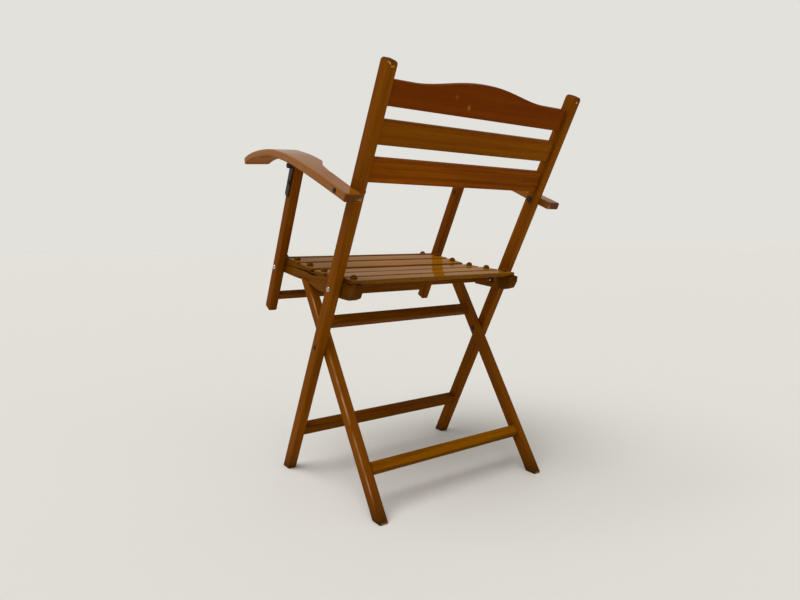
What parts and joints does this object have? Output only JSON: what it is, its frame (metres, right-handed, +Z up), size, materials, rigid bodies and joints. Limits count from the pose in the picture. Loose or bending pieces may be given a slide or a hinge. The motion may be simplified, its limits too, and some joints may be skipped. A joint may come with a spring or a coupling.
{
  "type": "folding armchair",
  "caption": "Folding wooden armchair with a slatted dished seat, a leaning back of horizontal boards, crossed legs and curved paddle armrests on iron straps.",
  "frame": {"origin": "on the floor, at the middle of the open chair's bounding box", "axes": "+Z up, -Y towards the front of the seat, +X towards the sitter's left"},
  "size_m": [0.536, 0.5341, 0.7929],
  "materials": {
    "brown_varnish": "glossy orange-brown varnish, worn pale at tips and feet",
    "dark_varnish": "glossy red-brown varnish",
    "pale_varnish": "glossy mid-brown varnish",
    "bright_steel": "bright, smooth",
    "dark_iron": "dark, slightly rough"
  },
  "bodies": {
    "back_frame": {"long_leg_left": "brown_varnish", "long_leg_right": "brown_varnish", "crest_board": "dark_varnish", "upper_back_board": "dark_varnish", "lower_back_board": "dark_varnish", "front_stretcher": "dark_varnish", "leg_cross_bolt_left": "dark_iron", "leg_cross_bolt_right": "dark_iron", "leg_cross_nut_left": "dark_iron", "leg_cross_nut_right": "dark_iron", "seat_rear_bolt_left": "bright_steel", "seat_rear_bolt_right": "bright_steel", "seat_rear_nut_left": "dark_iron", "seat_rear_nut_right": "dark_iron", "arm_rear_bolt_left": "dark_iron", "arm_rear_bolt_right": "dark_iron", "arm_rear_nut_left": "dark_iron", "arm_rear_nut_right": "dark_iron"},
    "leg_frame": {"short_leg_left": "brown_varnish", "short_leg_right": "brown_varnish", "rear_stretcher": "brown_varnish", "upper_stretcher": "dark_varnish"},
    "seat": {"seat_rail_left": "brown_varnish", "seat_rail_right": "brown_varnish", "seat_cross_rail": "dark_varnish", "seat_slat_1": "pale_varnish", "seat_slat_2": "pale_varnish", "seat_slat_3": "pale_varnish", "seat_slat_4": "pale_varnish", "seat_slat_5": "pale_varnish", "seat_slat_6": "pale_varnish", "slat_1_peg_left": "dark_varnish", "slat_1_peg_right": "dark_varnish", "slat_2_peg_left": "dark_varnish", "slat_2_peg_right": "dark_varnish", "slat_3_peg_left": "dark_varnish", "slat_3_peg_right": "dark_varnish", "slat_4_peg_left": "dark_varnish", "slat_4_peg_right": "dark_varnish", "slat_5_peg_left": "dark_varnish", "slat_5_peg_right": "dark_varnish", "slat_6_peg_left": "dark_varnish", "slat_6_peg_right": "dark_varnish"},
    "arm_frame": {"arm_post_left": "brown_varnish", "arm_post_right": "brown_varnish", "arm_stretcher": "dark_varnish", "seat_front_bolt_left": "bright_steel", "seat_front_bolt_right": "bright_steel", "seat_front_nut_left": "dark_iron", "seat_front_nut_right": "dark_iron", "arm_front_bolt_left": "dark_iron", "arm_front_bolt_right": "dark_iron", "arm_front_nut_left": "dark_iron", "arm_front_nut_right": "dark_iron"},
    "left_armrest": {"armrest_left": "pale_varnish", "arm_strap_left": "dark_iron"},
    "right_armrest": {"armrest_right": "pale_varnish", "arm_strap_right": "dark_iron"}
  },
  "joints": [
    {"name": "seat_fold", "type": "hinge", "parent": "back_frame", "child": "seat", "pos_m": [0, 0.06253, 0.41652], "axis": [-1, 0, 0], "range_deg": [0, 84]},
    {"name": "arm_frame_fold", "type": "hinge", "parent": "seat", "child": "arm_frame", "pos_m": [0, -0.18729, 0.4503], "axis": [1, 0, 0], "range_deg": [0, 84]},
    {"name": "left_armrest_fold", "type": "hinge", "parent": "back_frame", "child": "left_armrest", "pos_m": [0, 0.15617, 0.59336], "axis": [-1, 0, 0], "range_deg": [0, 84]},
    {"name": "right_armrest_fold", "type": "hinge", "parent": "back_frame", "child": "right_armrest", "pos_m": [0, 0.15617, 0.59336], "axis": [-1, 0, 0], "range_deg": [0, 84]},
    {"name": "leg_fold", "type": "hinge", "parent": "back_frame", "child": "leg_frame", "pos_m": [0, -0.00076, 0.29697], "axis": [-1, 0, 0], "range_deg": [0, 46.25]}
  ],
  "couplings": [
    {"joint": "arm_frame_fold", "follows": "seat_fold", "ratio": 1},
    {"joint": "left_armrest_fold", "follows": "seat_fold", "ratio": 1},
    {"joint": "right_armrest_fold", "follows": "seat_fold", "ratio": 1},
    {"joint": "leg_fold", "follows": "seat_fold", "ratio": 0.55}
  ]
}
